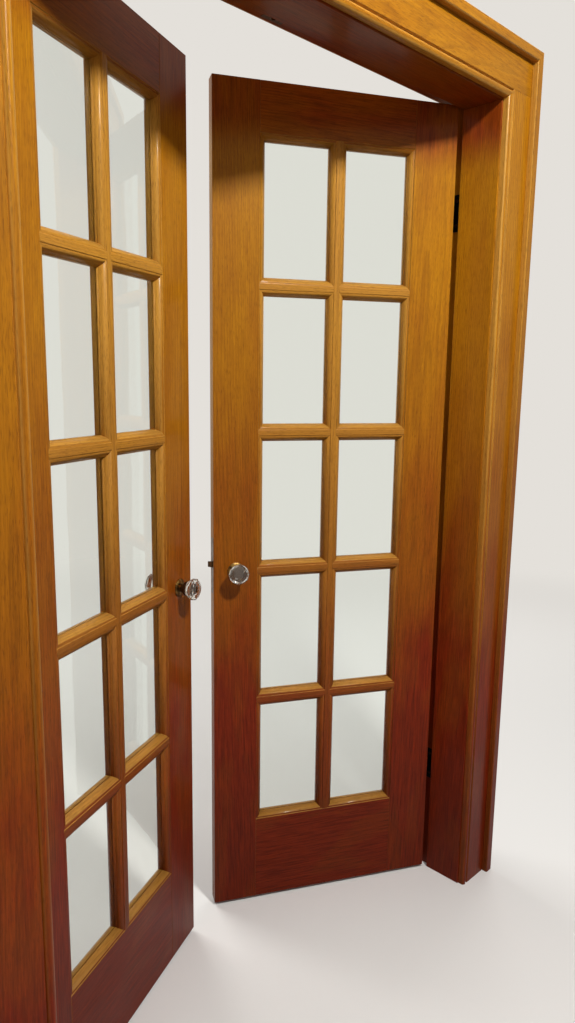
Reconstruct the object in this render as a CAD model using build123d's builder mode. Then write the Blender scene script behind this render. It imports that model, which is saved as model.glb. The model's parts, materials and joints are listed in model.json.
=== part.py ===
"""A pair of glazed french doors in a rebated timber frame, cased on both sides.

The origin is on the floor at the middle of the opening, in the plane of the jambs' hall edges.
+X is to the right seen from the hall, +Y goes into the room and +Z is up.  Millimetres.
"""
from build123d import *
import os
from math import cos, radians, sin

os.makedirs("parts", exist_ok=True)

UP = (0, 0, 1)
RIGHT = (1, 0, 0)
HALL = -1
ROOM = 1

# Leaves
leaf_width = 607.0
leaf_height = 2032.0
leaf_thickness = 35.0
floor_gap = 8.0
head_gap = 3.0
side_gap = 2.5
meeting_gap = 4.0
stop_gap = 1.0
right_open = 28.25          # degrees that each leaf stands open at rest
left_open = 25.0

# Stiles, rails and glazing bars, as flat widths up to their mouldings
stile_face = 111.0
top_rail_face = 110.0
bottom_rail_face = 225.0
bar_face = 14.0
columns = 2
rows = 5
tenon_length = 60.0
tenon_thickness = 11.0
tenon_shoulder = 20.0
tenon_end_gap = 2.0
bar_tenon = 12.0

# The ovolo moulding around each pane, and the beads that hold the glass from the room side
ovolo_radius = 11.0
ovolo_step = 1.5
glass_seat = 16.0           # depth of the glass from the hall face
glass_thickness = 3.0
glass_edge_gap = 1.0
rebate_width = 10.0
bead_radius = 8.0
bead_step = 1.0
mitre_gap = 0.1             # hairline between the mitred ends of two glazing beads

# Jambs
jamb_depth = 140.0
jamb_back = 20.0            # thickness behind the rebate
stop_height = 12.0
housing_depth = 10.0        # how far the head's ends run into the side jambs

# Casings, the same boards on both faces of the wall
casing_thickness = 17.0
casing_width = 113.0
casing_bead = 16.0
casing_quirk = 3.0
casing_quirk_depth = 5.0
casing_relief = 3.0         # depth of the hollow that leaves a board's back on two strips
inner_seat = 32.0           # strip of the back that lies on the jamb
outer_seat = 24.0           # strip of the back that lies on the wall
hall_reveal = 4.0           # jamb edge left bare between its hall face and the casing
room_reveal = 6.0           # the same beside the hinges, past the rebate
band_width = 26.0
band_depth = 32.0
band_lap = 15.0             # lip of the back band over the board
band_lip_round = 3.0
band_round = 5.0

# Butt hinges
hinge_height = 89.0
hinge_reach = 38.0          # from the pin's axis to the far edge of a plate
hinge_plate = 2.3
top_hinge_drop = 200.0
bottom_hinge_rise = 260.0
pin_stand_off = 8.0         # pin's axis out from the leaf's room face
pin_radius = 3.0
pin_clearance = 0.05
barrel_radius = 6.0
barrel_clearance = 0.8
knuckles = 5
knuckle_gap = 0.3
pin_head_radius = 4.5
pin_head_height = 4.0
pin_head_taper = 15.0       # degrees

# Countersunk screws
screw_length = 24.0
short_screw_length = 12.0   # for the plates on the lock edges and in the head
screw_radius = 2.1
screw_head_radius = 4.2
screw_clearance = 0.05
screw_tip = 5.0
countersink = 90.0          # angle of the screws' heads
hinge_screw_insets = (8.0, 19.0)    # from a plate's far edge, for the outer and inner screws
hinge_screw_heights = (15.0, 33.0)  # from a plate's ends

# Glass knobs, on the lock stiles
knob_height = 905.0         # above the leaf's bottom edge
knob_radius = 25.0
knob_sides = 12
knob_back_radius = 17.5
knob_front_radius = 17.5
knob_belt = 5.0             # depth of the widest part
knob_rear_share = 0.6       # of the slopes' depth, behind the widest part
knob_start = 22.0
knob_length = 27.0
knob_neck_radius = 12.0
knob_neck = 5.0
shank_radius = 9.0
shank_cup_radius = 15.5
shank_cup_wall = 3.0
shank_waist = 12.0
shank_inset = 2.0
rose_radius = 21.0
rose_thickness = 5.0
rose_rim = 2.0
spindle_side = 8.0
spindle_clearance = 0.05
spindle_depth_in_knob = 14.0
running_clearance = 0.06
spindle_hole_radius = 11.0

# Mortise latch in the right leaf
face_width = 25.0
face_height = 140.0
face_thickness = 3.0
case_height = 62.0
case_thickness = 13.0
case_depth = 78.0
case_wall = 1.5
case_below = 18.0           # case's bottom below the spindle
bolt_height = 14.0
bolt_thickness = 9.0
bolt_throw = 10.0
bolt_body = 22.0
bolt_rise = 16.0            # bolt's middle above the spindle
bolt_nose = 2.0
bolt_clearance = 0.2
tail_height = 5.0
tail_tab = 4.0
hub_radius = 7.5
hub_journal = 6.2
hub_arm = 10.0
hub_arm_tip = 2.5
hub_arm_half = 1.5
hub_tilt = 30.0             # the arm's lean either side of upright over its travel
latch_play = 0.3

# Strike and flush bolts in the left leaf
strike_height = 90.0
strike_thickness = 2.4
strike_clearance = 1.5
strike_pocket = 14.0
flush_height = 150.0
flush_width = 20.0
flush_thickness = 2.5
flush_inset = 60.0          # plate's near end from the leaf's end
flush_slot_width = 12.0
flush_travel = 16.0
flush_rod_radius = 4.5
flush_rod_inset = 19.0
flush_thumb_width = 9.0
flush_thumb_height = 12.0
flush_thumb_sunk = 0.5      # behind the leaf's edge
flush_rod_sunk = 0.5        # behind the leaf's end
flush_pocket_depth = 26.0
head_strike_length = 50.0
head_strike_width = 22.0
head_strike_thickness = 2.4
plate_screw_inset = 10.0

# Derived places
opening_half = leaf_width + side_gap + meeting_gap / 2
jamb_face_x = opening_half - stop_height
jamb_back_x = opening_half + jamb_back
leaf_face_y = jamb_depth - leaf_thickness
leaf_top = floor_gap + leaf_height
head_rebate_z = leaf_top + head_gap
head_face_z = head_rebate_z - stop_height
head_back_z = head_rebate_z + jamb_back
pin_x = opening_half - side_gap / 2
pin_y = jamb_depth + pin_stand_off
edge_offset = side_gap / 2                  # pin's axis to the leaf's hinge edge
leaf_reach = edge_offset + leaf_width
pin_depth = leaf_thickness + pin_stand_off
moulding = ovolo_radius + 2 * ovolo_step
glass_back = glass_seat + glass_thickness
lite_width = (leaf_width - 2 * stile_face - (columns - 1) * bar_face) / columns
lite_height = (leaf_height - top_rail_face - bottom_rail_face - (rows - 1) * bar_face) / rows
lite_pitch_x = lite_width + bar_face
lite_pitch_z = lite_height + bar_face
lites_bottom = floor_gap + bottom_rail_face
lites_top = leaf_top - top_rail_face
lites_middle = (lites_bottom + lites_top) / 2
leaf_middle = edge_offset + leaf_width / 2
knob_z = floor_gap + knob_height
backset = stile_face / 2
knuckle_pitch = hinge_height / knuckles
hinge_bottoms = (floor_gap + bottom_hinge_rise, leaf_top - top_hinge_drop - hinge_height)


def save(piece, name):
    """Label a finished piece and write it out."""
    piece.part.label = name
    export_step(piece.part, f"parts/{name}.step")


def rectangle_between(x0, y0, x1, y1, mode=Mode.ADD):
    """A rectangle given by two opposite corners."""
    with Locations(((x0 + x1) / 2, (y0 + y1) / 2)):
        Rectangle(abs(x1 - x0), abs(y1 - y0), mode=mode)


# Frames of reference.  A leaf's own frame has its origin on the pin's axis at floor level, its x
# along the leaf and its y towards the room when shut, so the leaf swings by turning this frame.


def pin_frame(side, angle):
    """The upright frame on one hinge line, turned as its leaf is opened into the room."""
    turn = radians(-side * angle)
    return Plane(origin=(side * pin_x, pin_y, 0), x_dir=(cos(turn), sin(turn), 0), z_dir=UP)


def face_plane(leaf, depth=0.0):
    """Plane of a leaf's hall face, or a depth behind it: x along the leaf, y up."""
    origin = leaf.from_local_coords(Vector(0, depth - pin_depth, 0))
    return Plane(origin=origin, x_dir=leaf.x_dir, z_dir=-leaf.y_dir)


def edge_plane(leaf, side, reach, outward):
    """Plane of a leaf's upright edge, facing out of the wood: x across the thickness, y up."""
    normal = leaf.x_dir * (side * outward)
    origin = leaf.from_local_coords(Vector(-side * reach, -pin_depth, 0))
    return Plane(origin=origin, x_dir=Vector(*UP).cross(normal), z_dir=normal)


def section_plane(origin, across, into):
    """Plane of a moulding's section: x across it from its outer edge, y into its thickness."""
    across = Vector(across)
    return Plane(origin=origin, x_dir=across, z_dir=across.cross(Vector(into)))


# Sections


def draw_moulded_edge(flat):
    """Ovolo, sight edge and glazing rebate beyond a flat face that ends at the given width."""
    round_start = flat + ovolo_step
    sight = flat + moulding
    rebate = sight - rebate_width
    Polyline((flat, 0), (flat, ovolo_step), (round_start, ovolo_step))
    CenterArc((round_start, ovolo_step + ovolo_radius), ovolo_radius, -90, 90)
    Polyline(
        (round_start + ovolo_radius, ovolo_step + ovolo_radius),
        (sight, ovolo_step + ovolo_radius),
        (sight, glass_seat),
        (rebate, glass_seat),
        (rebate, leaf_thickness),
    )


def rail_section(flat):
    """Section of a stile or rail: a flat face with a moulded inner edge."""
    with BuildSketch() as drawing:
        with BuildLine():
            draw_moulded_edge(flat)
            Polyline((flat + moulding - rebate_width, leaf_thickness), (0, leaf_thickness), (0, 0), (flat, 0))
        make_face()
    return drawing.sketch


def bar_section():
    """Section of a glazing bar: the same moulding on both edges."""
    with BuildSketch() as drawing:
        with BuildLine():
            draw_moulded_edge(bar_face / 2)
            Line((0, 0), (bar_face / 2, 0))
            mirror(about=Plane.YZ)
            Line(
                (bar_face / 2 + moulding - rebate_width, leaf_thickness),
                (-bar_face / 2 - moulding + rebate_width, leaf_thickness),
            )
        make_face()
    return drawing.sketch


def bead_section():
    """Section of a glazing bead in its rebate: x from the flat's edge, y into the leaf."""
    inner = moulding - rebate_width
    crown = leaf_thickness - bead_step
    with BuildSketch() as drawing:
        with BuildLine():
            Polyline(
                (inner + bead_step, crown),
                (inner + bead_step, leaf_thickness),
                (inner, leaf_thickness),
                (inner, glass_back),
                (moulding, glass_back),
                (moulding, crown - bead_radius),
                (inner + bead_step + bead_radius, crown - bead_radius),
            )
            CenterArc((inner + bead_step, crown - bead_radius), bead_radius, 0, 90)
        make_face()
    return drawing.sketch


def casing_section():
    """Section of a casing board: x out from its inner edge, y out from the wall."""
    quirk_bottom = casing_thickness - casing_quirk_depth
    with BuildSketch() as drawing:
        with BuildLine():
            Polyline((casing_bead + casing_quirk, casing_thickness), (casing_width, casing_thickness),
                     (casing_width, 0), (casing_width - outer_seat, 0),
                     (casing_width - outer_seat - casing_relief, casing_relief),
                     (inner_seat + casing_relief, casing_relief), (inner_seat, 0),
                     (0, 0), (0, quirk_bottom))
            ThreePointArc((0, quirk_bottom), (casing_bead / 2, casing_thickness), (casing_bead, quirk_bottom))
            Polyline((casing_bead, quirk_bottom), (casing_bead + casing_quirk / 2, quirk_bottom),
                     (casing_bead + casing_quirk, casing_thickness))
        make_face()
    return drawing.sketch


def band_section():
    """Section of a back band lapped over the board's outer edge, in the casing section's axes."""
    lip = casing_width - band_lap
    outer = lip + band_width
    with BuildSketch() as drawing:
        with BuildLine():
            Line((lip + band_lip_round, band_depth), (outer - band_round, band_depth))
            CenterArc((outer - band_round, band_depth - band_round), band_round, 90, -90)
            Polyline((outer, band_depth - band_round), (outer, 0), (casing_width, 0),
                     (casing_width, casing_thickness), (lip, casing_thickness),
                     (lip, band_depth - band_lip_round))
            CenterArc((lip + band_lip_round, band_depth - band_lip_round), band_lip_round, 180, -90)
        make_face()
    return drawing.sketch


# Mitred members: a section run along one direction, with its ends cut to its front outline


def run_member(start, section, length, along, front, outline, depth):
    """Run a section and trim it to an outline drawn on the plane behind it."""
    with BuildPart() as member:
        with BuildSketch(start):
            add(section)
        extrude(amount=length, dir=along)
        with BuildSketch(front):
            add(outline)
        extrude(amount=depth, mode=Mode.INTERSECT)
    return member


# Frame


def head_section():
    """Section of the head jamb: x towards the room, y up."""
    with BuildSketch() as drawing:
        with BuildLine():
            Polyline(
                (0, head_face_z),
                (0, head_back_z),
                (jamb_depth, head_back_z),
                (jamb_depth, head_rebate_z),
                (leaf_face_y - stop_gap, head_rebate_z),
                (leaf_face_y - stop_gap, head_face_z),
                close=True,
            )
        make_face()
    return drawing.sketch


def head_end_plane(x):
    """Plane across the head jamb, facing +X."""
    return Plane(origin=(x, 0, 0), x_dir=(0, 1, 0), z_dir=RIGHT)


def hinge_screws(plane, sign):
    """Places of one hinge line's screws on an upright edge plane."""
    far_edge = pin_depth - hinge_reach
    places = []
    for bottom in hinge_bottoms:
        for inset, height in zip(hinge_screw_insets, hinge_screw_heights):
            for z in (bottom + height, bottom + hinge_height - height):
                places.append(plane * Pos(sign * (far_edge + inset), z, 0))
    return places


screw_hole = screw_radius + screw_clearance
screw_head_depth = screw_head_radius - screw_radius


def countersunk_screw(length):
    """A countersunk wood screw with its head flush at the origin, driven down."""
    with BuildPart() as screw:
        with BuildSketch(Plane.XZ):
            with BuildLine():
                Polyline(
                    (0, 0),
                    (screw_head_radius, 0),
                    (screw_radius, -screw_head_depth),
                    (screw_radius, screw_tip - length),
                    (0, -length),
                    close=True,
                )
            make_face()
        revolve(axis=Axis.Z)
    return screw


hinge_screw = countersunk_screw(screw_length)
plate_screw = countersunk_screw(short_screw_length)


def hinge_pockets(frame, toward):
    """Pockets for one hinge line's plates, from the far edge of each out to the room."""
    with BuildPart() as pockets:
        for bottom in hinge_bottoms:
            with BuildSketch(frame.offset(bottom)):
                rectangle_between(
                    toward * edge_offset, -hinge_reach, toward * (edge_offset + hinge_plate), 0
                )
            extrude(amount=hinge_height)
    return pockets.part


for side, name in ((-1, "left"), (1, "right")):
    shut = pin_frame(side, 0)
    with BuildPart() as jamb:
        with BuildSketch():
            with BuildLine():
                Polyline(
                    (side * jamb_face_x, 0),
                    (side * jamb_back_x, 0),
                    (side * jamb_back_x, jamb_depth),
                    (side * opening_half, jamb_depth),
                    (side * opening_half, leaf_face_y - stop_gap),
                    (side * jamb_face_x, leaf_face_y - stop_gap),
                    close=True,
                )
            make_face()
        extrude(amount=head_back_z)
        with BuildSketch(head_end_plane(side * (opening_half + housing_depth))):
            add(head_section())
        extrude(amount=-side * (housing_depth + stop_height), mode=Mode.SUBTRACT)
        add(hinge_pockets(shut, side), mode=Mode.SUBTRACT)
        with Locations(*hinge_screws(edge_plane(shut, side, -edge_offset, -1), -side)):
            Hole(screw_hole, depth=screw_length)
    save(jamb, f"{name}_jamb")

flush_bolt_x = leaf_reach - flush_rod_inset - pin_x
leaf_middle_y = leaf_face_y + leaf_thickness / 2
head_strike_plane = Plane(origin=(flush_bolt_x, leaf_middle_y, head_rebate_z), z_dir=(0, 0, -1))
head_strike_screws = [(way * (head_strike_length / 2 - plate_screw_inset), 0) for way in (-1, 1)]

with BuildPart() as head_jamb:
    with BuildSketch(head_end_plane(-opening_half - housing_depth)):
        add(head_section())
    extrude(amount=2 * (opening_half + housing_depth))
    with BuildSketch(head_strike_plane):
        Rectangle(head_strike_length, head_strike_width)
    extrude(amount=-head_strike_thickness, mode=Mode.SUBTRACT)
    with Locations(head_strike_plane):
        Hole(flush_rod_radius + strike_clearance, depth=jamb_back)
        with Locations(*head_strike_screws):
            Hole(screw_hole, depth=short_screw_length)
save(head_jamb, "head_jamb")

with BuildPart() as head_strike:
    with BuildSketch(head_strike_plane):
        Rectangle(head_strike_length, head_strike_width)
        Circle(flush_rod_radius + strike_clearance, mode=Mode.SUBTRACT)
    extrude(amount=-head_strike_thickness)
    with Locations(head_strike_plane):
        with Locations(*head_strike_screws):
            CounterSinkHole(screw_hole, screw_head_radius + screw_clearance, counter_sink_angle=countersink)
save(head_strike, "head_strike")


# Casings and back bands


def wall_plane(facing):
    """The wall's face on one side, as a plane facing out of it with y up."""
    wall_y = 0 if facing == HALL else jamb_depth
    return Plane(origin=(0, wall_y, 0), x_dir=(-facing, 0, 0), z_dir=(0, facing, 0))


def side_board_outline(x, inner, arris):
    """Outline of an upright casing board, its bead mitred and its flat cut square at the top."""
    turn = casing_bead + casing_quirk
    with BuildSketch() as drawing:
        Polygon((x * inner, 0), (x * inner, arris), (x * (inner + turn), arris + turn),
                (x * (inner + casing_width), arris + turn), (x * (inner + casing_width), 0), align=None)
    return drawing.sketch


def head_board_outline(inner, arris):
    """Outline of the head casing board, which runs over the upright boards."""
    turn = casing_bead + casing_quirk
    with BuildSketch() as drawing:
        with BuildLine():
            Polyline((0, arris), (inner, arris), (inner + turn, arris + turn),
                     (inner + casing_width, arris + turn),
                     (inner + casing_width, arris + casing_width), (0, arris + casing_width))
            mirror(about=Plane.YZ)
        make_face()
    return drawing.sketch


def side_band_outline(x, inner, arris):
    """Outline of an upright back band, mitred at its top."""
    lip = casing_width - band_lap
    outer = lip + band_width
    with BuildSketch() as drawing:
        Polygon((x * (inner + lip), 0), (x * (inner + lip), arris + lip),
                (x * (inner + outer), arris + outer), (x * (inner + outer), 0), align=None)
    return drawing.sketch


def head_band_outline(inner, arris):
    """Outline of the back band over the head, mitred at both ends."""
    lip = casing_width - band_lap
    outer = lip + band_width
    with BuildSketch() as drawing:
        Polygon((inner + lip, arris + lip), (inner + outer, arris + outer),
                (-inner - outer, arris + outer), (-inner - lip, arris + lip), align=None)
    return drawing.sketch


casing_reach = casing_width - band_lap + band_width

for facing, room_name, inner, arris in (
    (HALL, "hall", jamb_face_x + hall_reveal, head_face_z + hall_reveal),
    (ROOM, "room", opening_half + room_reveal, head_rebate_z + room_reveal),
):
    wall = wall_plane(facing)
    wall_y = wall.origin.Y
    into = (0, facing, 0)
    for side, name in ((-1, "left"), (1, "right")):
        start = section_plane((side * inner, wall_y, 0), (side, 0, 0), into)
        x = -facing * side
        board = run_member(start, casing_section(), arris + casing_reach, UP, wall,
                           side_board_outline(x, inner, arris), band_depth)
        save(board, f"{room_name}_casing_{name}")
        band = run_member(start, band_section(), arris + casing_reach, UP, wall,
                          side_band_outline(x, inner, arris), band_depth)
        save(band, f"{room_name}_backband_{name}")
    start = section_plane((-inner - casing_reach, wall_y, arris), UP, into)
    length = 2 * (inner + casing_reach)
    board = run_member(start, casing_section(), length, RIGHT, wall,
                       head_board_outline(inner, arris), band_depth)
    save(board, f"{room_name}_casing_head")
    band = run_member(start, band_section(), length, RIGHT, wall,
                      head_band_outline(inner, arris), band_depth)
    save(band, f"{room_name}_backband_head")


# Hinges


def hinge_leaves(frame, toward, numbers):
    """One plate with its knuckles and countersunk holes, at both heights of a hinge line."""
    plate_in = toward * edge_offset
    plate_out = toward * (edge_offset + hinge_plate)
    neck = barrel_radius + barrel_clearance
    face = Plane(
        origin=frame.from_local_coords(Vector(plate_in, -pin_depth, 0)),
        x_dir=Vector(*UP).cross(frame.x_dir * -toward),
        z_dir=frame.x_dir * -toward,
    )
    with BuildPart() as leaves:
        for bottom in hinge_bottoms:
            with BuildSketch(frame.offset(bottom)):
                rectangle_between(plate_in, -hinge_reach, plate_out, -neck)
            extrude(amount=hinge_height)
            for number in numbers:
                low = knuckle_gap / 2 if number > 0 else 0
                high = knuckle_gap / 2 if number < knuckles - 1 else 0
                with BuildSketch(frame.offset(bottom + number * knuckle_pitch + low)):
                    Circle(barrel_radius)
                    rectangle_between(plate_in, -neck, plate_out, 0)
                    Circle(pin_radius + pin_clearance, mode=Mode.SUBTRACT)
                extrude(amount=knuckle_pitch - low - high)
        with Locations(*hinge_screws(face, -toward)):
            CounterSinkHole(screw_hole, screw_head_radius + screw_clearance, counter_sink_angle=countersink)
    return leaves


jamb_knuckles = range(0, knuckles, 2)
leaf_knuckles = range(1, knuckles, 2)

for side, name in ((-1, "left"), (1, "right")):
    save(hinge_leaves(pin_frame(side, 0), side, jamb_knuckles), f"{name}_jamb_hinge_leaves")

with BuildPart() as hinge_pins:
    for side in (-1, 1):
        for bottom in hinge_bottoms:
            with BuildSketch(Plane(origin=(side * pin_x, pin_y, bottom))):
                Circle(pin_radius)
            extrude(amount=hinge_height)
            with BuildSketch(Plane(origin=(side * pin_x, pin_y, bottom + hinge_height))):
                Circle(pin_head_radius)
            extrude(amount=pin_head_height, taper=pin_head_taper)
save(hinge_pins, "hinge_pins")

with BuildPart() as frame_screws:
    for side in (-1, 1):
        shut = pin_frame(side, 0)
        with Locations(*hinge_screws(edge_plane(shut, side, -edge_offset, -1), -side)):
            add(hinge_screw.part)
    with Locations(head_strike_plane):
        with Locations(*head_strike_screws):
            add(plate_screw.part)
save(frame_screws, "frame_screws")


# Leaves


def across_leaf(side, reach):
    """Place along a leaf's own x axis, given as the distance from its pin."""
    return -side * reach


def stile_outline(side, outer, inward):
    """Front outline of a stile: its full height, and its moulding beside each pane."""
    with BuildSketch() as drawing:
        rectangle_between(across_leaf(side, outer), floor_gap,
                          across_leaf(side, outer + inward * stile_face), leaf_top)
        flat = across_leaf(side, outer + inward * stile_face)
        sight = across_leaf(side, outer + inward * (stile_face + moulding))
        for row in range(rows):
            low = lites_bottom + row * lite_pitch_z
            high = low + lite_height
            Polygon((flat, low), (sight, low + moulding), (sight, high - moulding), (flat, high), align=None)
    return drawing.sketch


def rail_outline(side, outer, flat, up):
    """Front outline of a top or bottom rail between the stiles' flats, with its mouldings."""
    with BuildSketch() as drawing:
        rectangle_between(across_leaf(side, edge_offset + stile_face), outer,
                          across_leaf(side, leaf_reach - stile_face), flat)
        for column in range(columns):
            near = edge_offset + stile_face + column * lite_pitch_x
            far = near + lite_width
            sight = flat + up * moulding
            Polygon((across_leaf(side, near), flat), (across_leaf(side, near + moulding), sight),
                    (across_leaf(side, far - moulding), sight), (across_leaf(side, far), flat), align=None)
    return drawing.sketch


def upright_bar_outline(middle):
    """Front outline of the upright glazing bar, which runs through between the rails."""
    half = bar_face / 2
    with BuildSketch() as drawing:
        rectangle_between(middle - half, lites_bottom, middle + half, lites_top)
        for row in range(rows):
            low = lites_bottom + row * lite_pitch_z
            high = low + lite_height
            for way in (-1, 1):
                flat = middle + way * half
                sight = flat + way * moulding
                Polygon((flat, low), (sight, low + moulding), (sight, high - moulding), (flat, high),
                        align=None)
    return drawing.sketch


def cross_bar(outer_way):
    """A cross bar between two uprights, about its own middle, with a tenon at its outer end."""
    half_length = lite_width / 2
    half = bar_face / 2
    start = section_plane((-half_length, 0, 0), (0, 1, 0), (0, 0, -1))
    with BuildSketch() as outline:
        with BuildLine():
            Polyline((-half_length, 0), (-half_length, half), (-half_length + moulding, half + moulding),
                     (half_length - moulding, half + moulding), (half_length, half), (half_length, 0))
            mirror(about=Plane.XZ)
        make_face()
    bar = run_member(start, bar_section(), lite_width, RIGHT, Plane.XY.offset(-leaf_thickness),
                     outline.sketch, leaf_thickness)
    with BuildPart() as tenoned:
        add(bar.part)
        with BuildSketch(Plane.XY.offset(-tenon_depth)):
            rectangle_between(outer_way * half_length, -half, outer_way * (half_length + bar_tenon), half)
        extrude(amount=-tenon_thickness)
    return tenoned.part


def pane_beads():
    """The four mitred glazing beads of one pane, about the pane's middle."""
    section = bead_section()
    strips = []
    for along, across, length, width in (
        (RIGHT, (0, 1, 0), lite_width, lite_height),
        ((0, 1, 0), RIGHT, lite_height, lite_width),
    ):
        along = Vector(*along)
        across = Vector(*across)
        corner = along * (-length / 2) + across * (-width / 2)
        start = section_plane(corner, across, (0, 0, -1))
        ends = ((mitre_gap, 0), (moulding + mitre_gap, moulding),
                (length - moulding - mitre_gap, moulding), (length - mitre_gap, 0))
        corners = [corner + along * run + across * height for run, height in ends]
        with BuildSketch() as outline:
            Polygon(*[(point.X, point.Y) for point in corners], align=None)
        strip = run_member(start, section, length, along,
                           Plane.XY.offset(-leaf_thickness), outline.sketch, leaf_thickness)
        strips.append((strip.part, Plane(origin=(0, 0, 0), z_dir=across)))
    with BuildPart() as beads:
        for strip, opposite in strips:
            add(strip)
            mirror(strip, about=opposite)
    return beads.part


tenon_depth = (leaf_thickness - tenon_thickness) / 2
bar_by_column = [cross_bar(way) for way in (-1, 1)]
beads_of_a_pane = pane_beads()
bar_places = [lites_bottom + (row + 1) * lite_pitch_z - bar_face / 2 for row in range(rows - 1)]
rail_tenons = (
    (floor_gap + tenon_shoulder, lites_bottom - tenon_shoulder),
    (lites_top + tenon_shoulder, leaf_top - tenon_shoulder),
)


def stile(leaf, side, outer, inward):
    """A stile: moulded edge, mortises for the rails and cross bars."""
    start = section_plane(
        leaf.from_local_coords(Vector(across_leaf(side, outer), -pin_depth, floor_gap)),
        (leaf.x_dir * across_leaf(side, inward)), leaf.y_dir)
    board = run_member(start, rail_section(stile_face), leaf_height, UP,
                       face_plane(leaf, leaf_thickness), stile_outline(side, outer, inward), leaf_thickness)
    flat = across_leaf(side, outer + inward * stile_face)
    rail_end = across_leaf(side, outer + inward * (stile_face - tenon_length - tenon_end_gap))
    bar_end = across_leaf(side, outer + inward * (stile_face - bar_tenon - tenon_end_gap))
    with BuildPart() as mortised:
        add(board.part)
        with BuildSketch(face_plane(leaf, tenon_depth)):
            for low, high in rail_tenons:
                rectangle_between(flat, low, rail_end, high)
            for middle in bar_places:
                rectangle_between(flat, middle - bar_face / 2, bar_end, middle + bar_face / 2)
        extrude(amount=-tenon_thickness, mode=Mode.SUBTRACT)
    return mortised


def rail(leaf, side, outer, flat, up, tenon):
    """A top or bottom rail with its tenons, and the mortise for the upright bar."""
    least = min(0, across_leaf(side, leaf_reach))
    start = section_plane(leaf.from_local_coords(Vector(least, -pin_depth, outer)), (0, 0, up), leaf.y_dir)
    board = run_member(start, rail_section(abs(flat - outer)), leaf_reach, leaf.x_dir,
                       face_plane(leaf, leaf_thickness), rail_outline(side, outer, flat, up), leaf_thickness)
    middle = across_leaf(side, leaf_middle)
    low, high = tenon
    with BuildPart() as tenoned:
        add(board.part)
        with BuildSketch(face_plane(leaf, tenon_depth)):
            for reach, way in ((edge_offset + stile_face, -1), (leaf_reach - stile_face, 1)):
                rectangle_between(across_leaf(side, reach), low,
                                  across_leaf(side, reach + way * tenon_length), high)
        extrude(amount=-tenon_thickness)
        with BuildSketch(face_plane(leaf, tenon_depth)):
            rectangle_between(middle - bar_face / 2, flat,
                              middle + bar_face / 2, flat - up * (bar_tenon + tenon_end_gap))
        extrude(amount=-tenon_thickness, mode=Mode.SUBTRACT)
    return tenoned


def upright_bar(leaf, side):
    """The upright glazing bar with a tenon at each end."""
    middle = across_leaf(side, leaf_middle)
    start = section_plane(
        leaf.from_local_coords(Vector(middle, -pin_depth, lites_bottom)),
        leaf.x_dir, leaf.y_dir)
    bar = run_member(start, bar_section(), lites_top - lites_bottom, UP,
                     face_plane(leaf, leaf_thickness), upright_bar_outline(middle), leaf_thickness)
    with BuildPart() as tenoned:
        add(bar.part)
        with BuildSketch(face_plane(leaf, tenon_depth)):
            for end, way in ((lites_bottom, -1), (lites_top, 1)):
                rectangle_between(middle - bar_face / 2, end, middle + bar_face / 2, end + way * bar_tenon)
        extrude(amount=-tenon_thickness)
    return tenoned


# Latch, strike and flush bolts.  Heights are above the leaf's knob, distances from its lock edge.

face_z = knob_z - case_below + case_height / 2
bolt_z = knob_z + bolt_rise
case_back = face_thickness + case_depth
centre_depth = leaf_thickness / 2


def lock_plane(leaf, side, sunk=0.0):
    """Plane of a leaf's lock edge at the middle of its thickness, or sunk into the wood."""
    edge = edge_plane(leaf, side, leaf_reach, -1)
    return edge.offset(-sunk) * Pos(-side * centre_depth, 0, 0)


def plate_screws(leaf, side, middle, height):
    """Places of a plate's two screws on the lock edge."""
    reach = height / 2 - plate_screw_inset
    return [lock_plane(leaf, side) * Pos(0, middle + way * reach, 0) for way in (-1, 1)]


def knob_axis(leaf, side, facing):
    """Plane on one face of a leaf at its knob, facing out of the wood with y up."""
    depth = 0 if facing == HALL else leaf_thickness
    place = Vector(across_leaf(side, leaf_reach - backset), depth - pin_depth, knob_z)
    return Plane(origin=leaf.from_local_coords(place), x_dir=leaf.x_dir * -facing,
                 z_dir=leaf.y_dir * facing)


# Knobs, modelled along +Z from the face of the leaf

shank_end = knob_start
cup_floor = knob_start - knob_neck

with BuildPart() as shank:
    with BuildSketch(Plane.XZ):
        with BuildLine():
            Polyline((0, shank_end), (0, -shank_inset), (shank_radius, -shank_inset),
                     (shank_radius, shank_waist - shank_cup_wall))
            Spline((shank_radius, shank_waist - shank_cup_wall), (shank_cup_radius, cup_floor),
                   tangents=[(0, 1), (0, 1)])
            Polyline((shank_cup_radius, cup_floor), (shank_cup_radius, shank_end), (0, shank_end))
        make_face()
    revolve(axis=Axis.Z)
    with BuildSketch(Plane.XY.offset(cup_floor)):
        Circle(knob_neck_radius + spindle_clearance)
    extrude(amount=knob_neck, mode=Mode.SUBTRACT)
    with BuildSketch(Plane.XY.offset(-shank_inset)):
        Rectangle(spindle_side + 2 * spindle_clearance, spindle_side + 2 * spindle_clearance)
    extrude(amount=shank_inset + spindle_depth_in_knob, mode=Mode.SUBTRACT)

with BuildPart() as glass_knob:
    with BuildSketch(Plane.XY.offset(knob_start)):
        RegularPolygon(knob_back_radius, knob_sides)
    with BuildSketch(Plane.XY.offset(knob_start + (knob_length - knob_belt) * knob_rear_share)):
        RegularPolygon(knob_radius, knob_sides)
    loft(ruled=True)
    extrude(faces().sort_by(Axis.Z)[-1], amount=knob_belt)
    with BuildSketch(faces().sort_by(Axis.Z)[-1]):
        RegularPolygon(knob_radius, knob_sides)
    with BuildSketch(Plane.XY.offset(knob_start + knob_length)):
        RegularPolygon(knob_front_radius, knob_sides)
    loft(ruled=True)
    with BuildSketch(Plane.XY.offset(knob_start)):
        Circle(knob_neck_radius)
    extrude(amount=-knob_neck)

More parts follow.
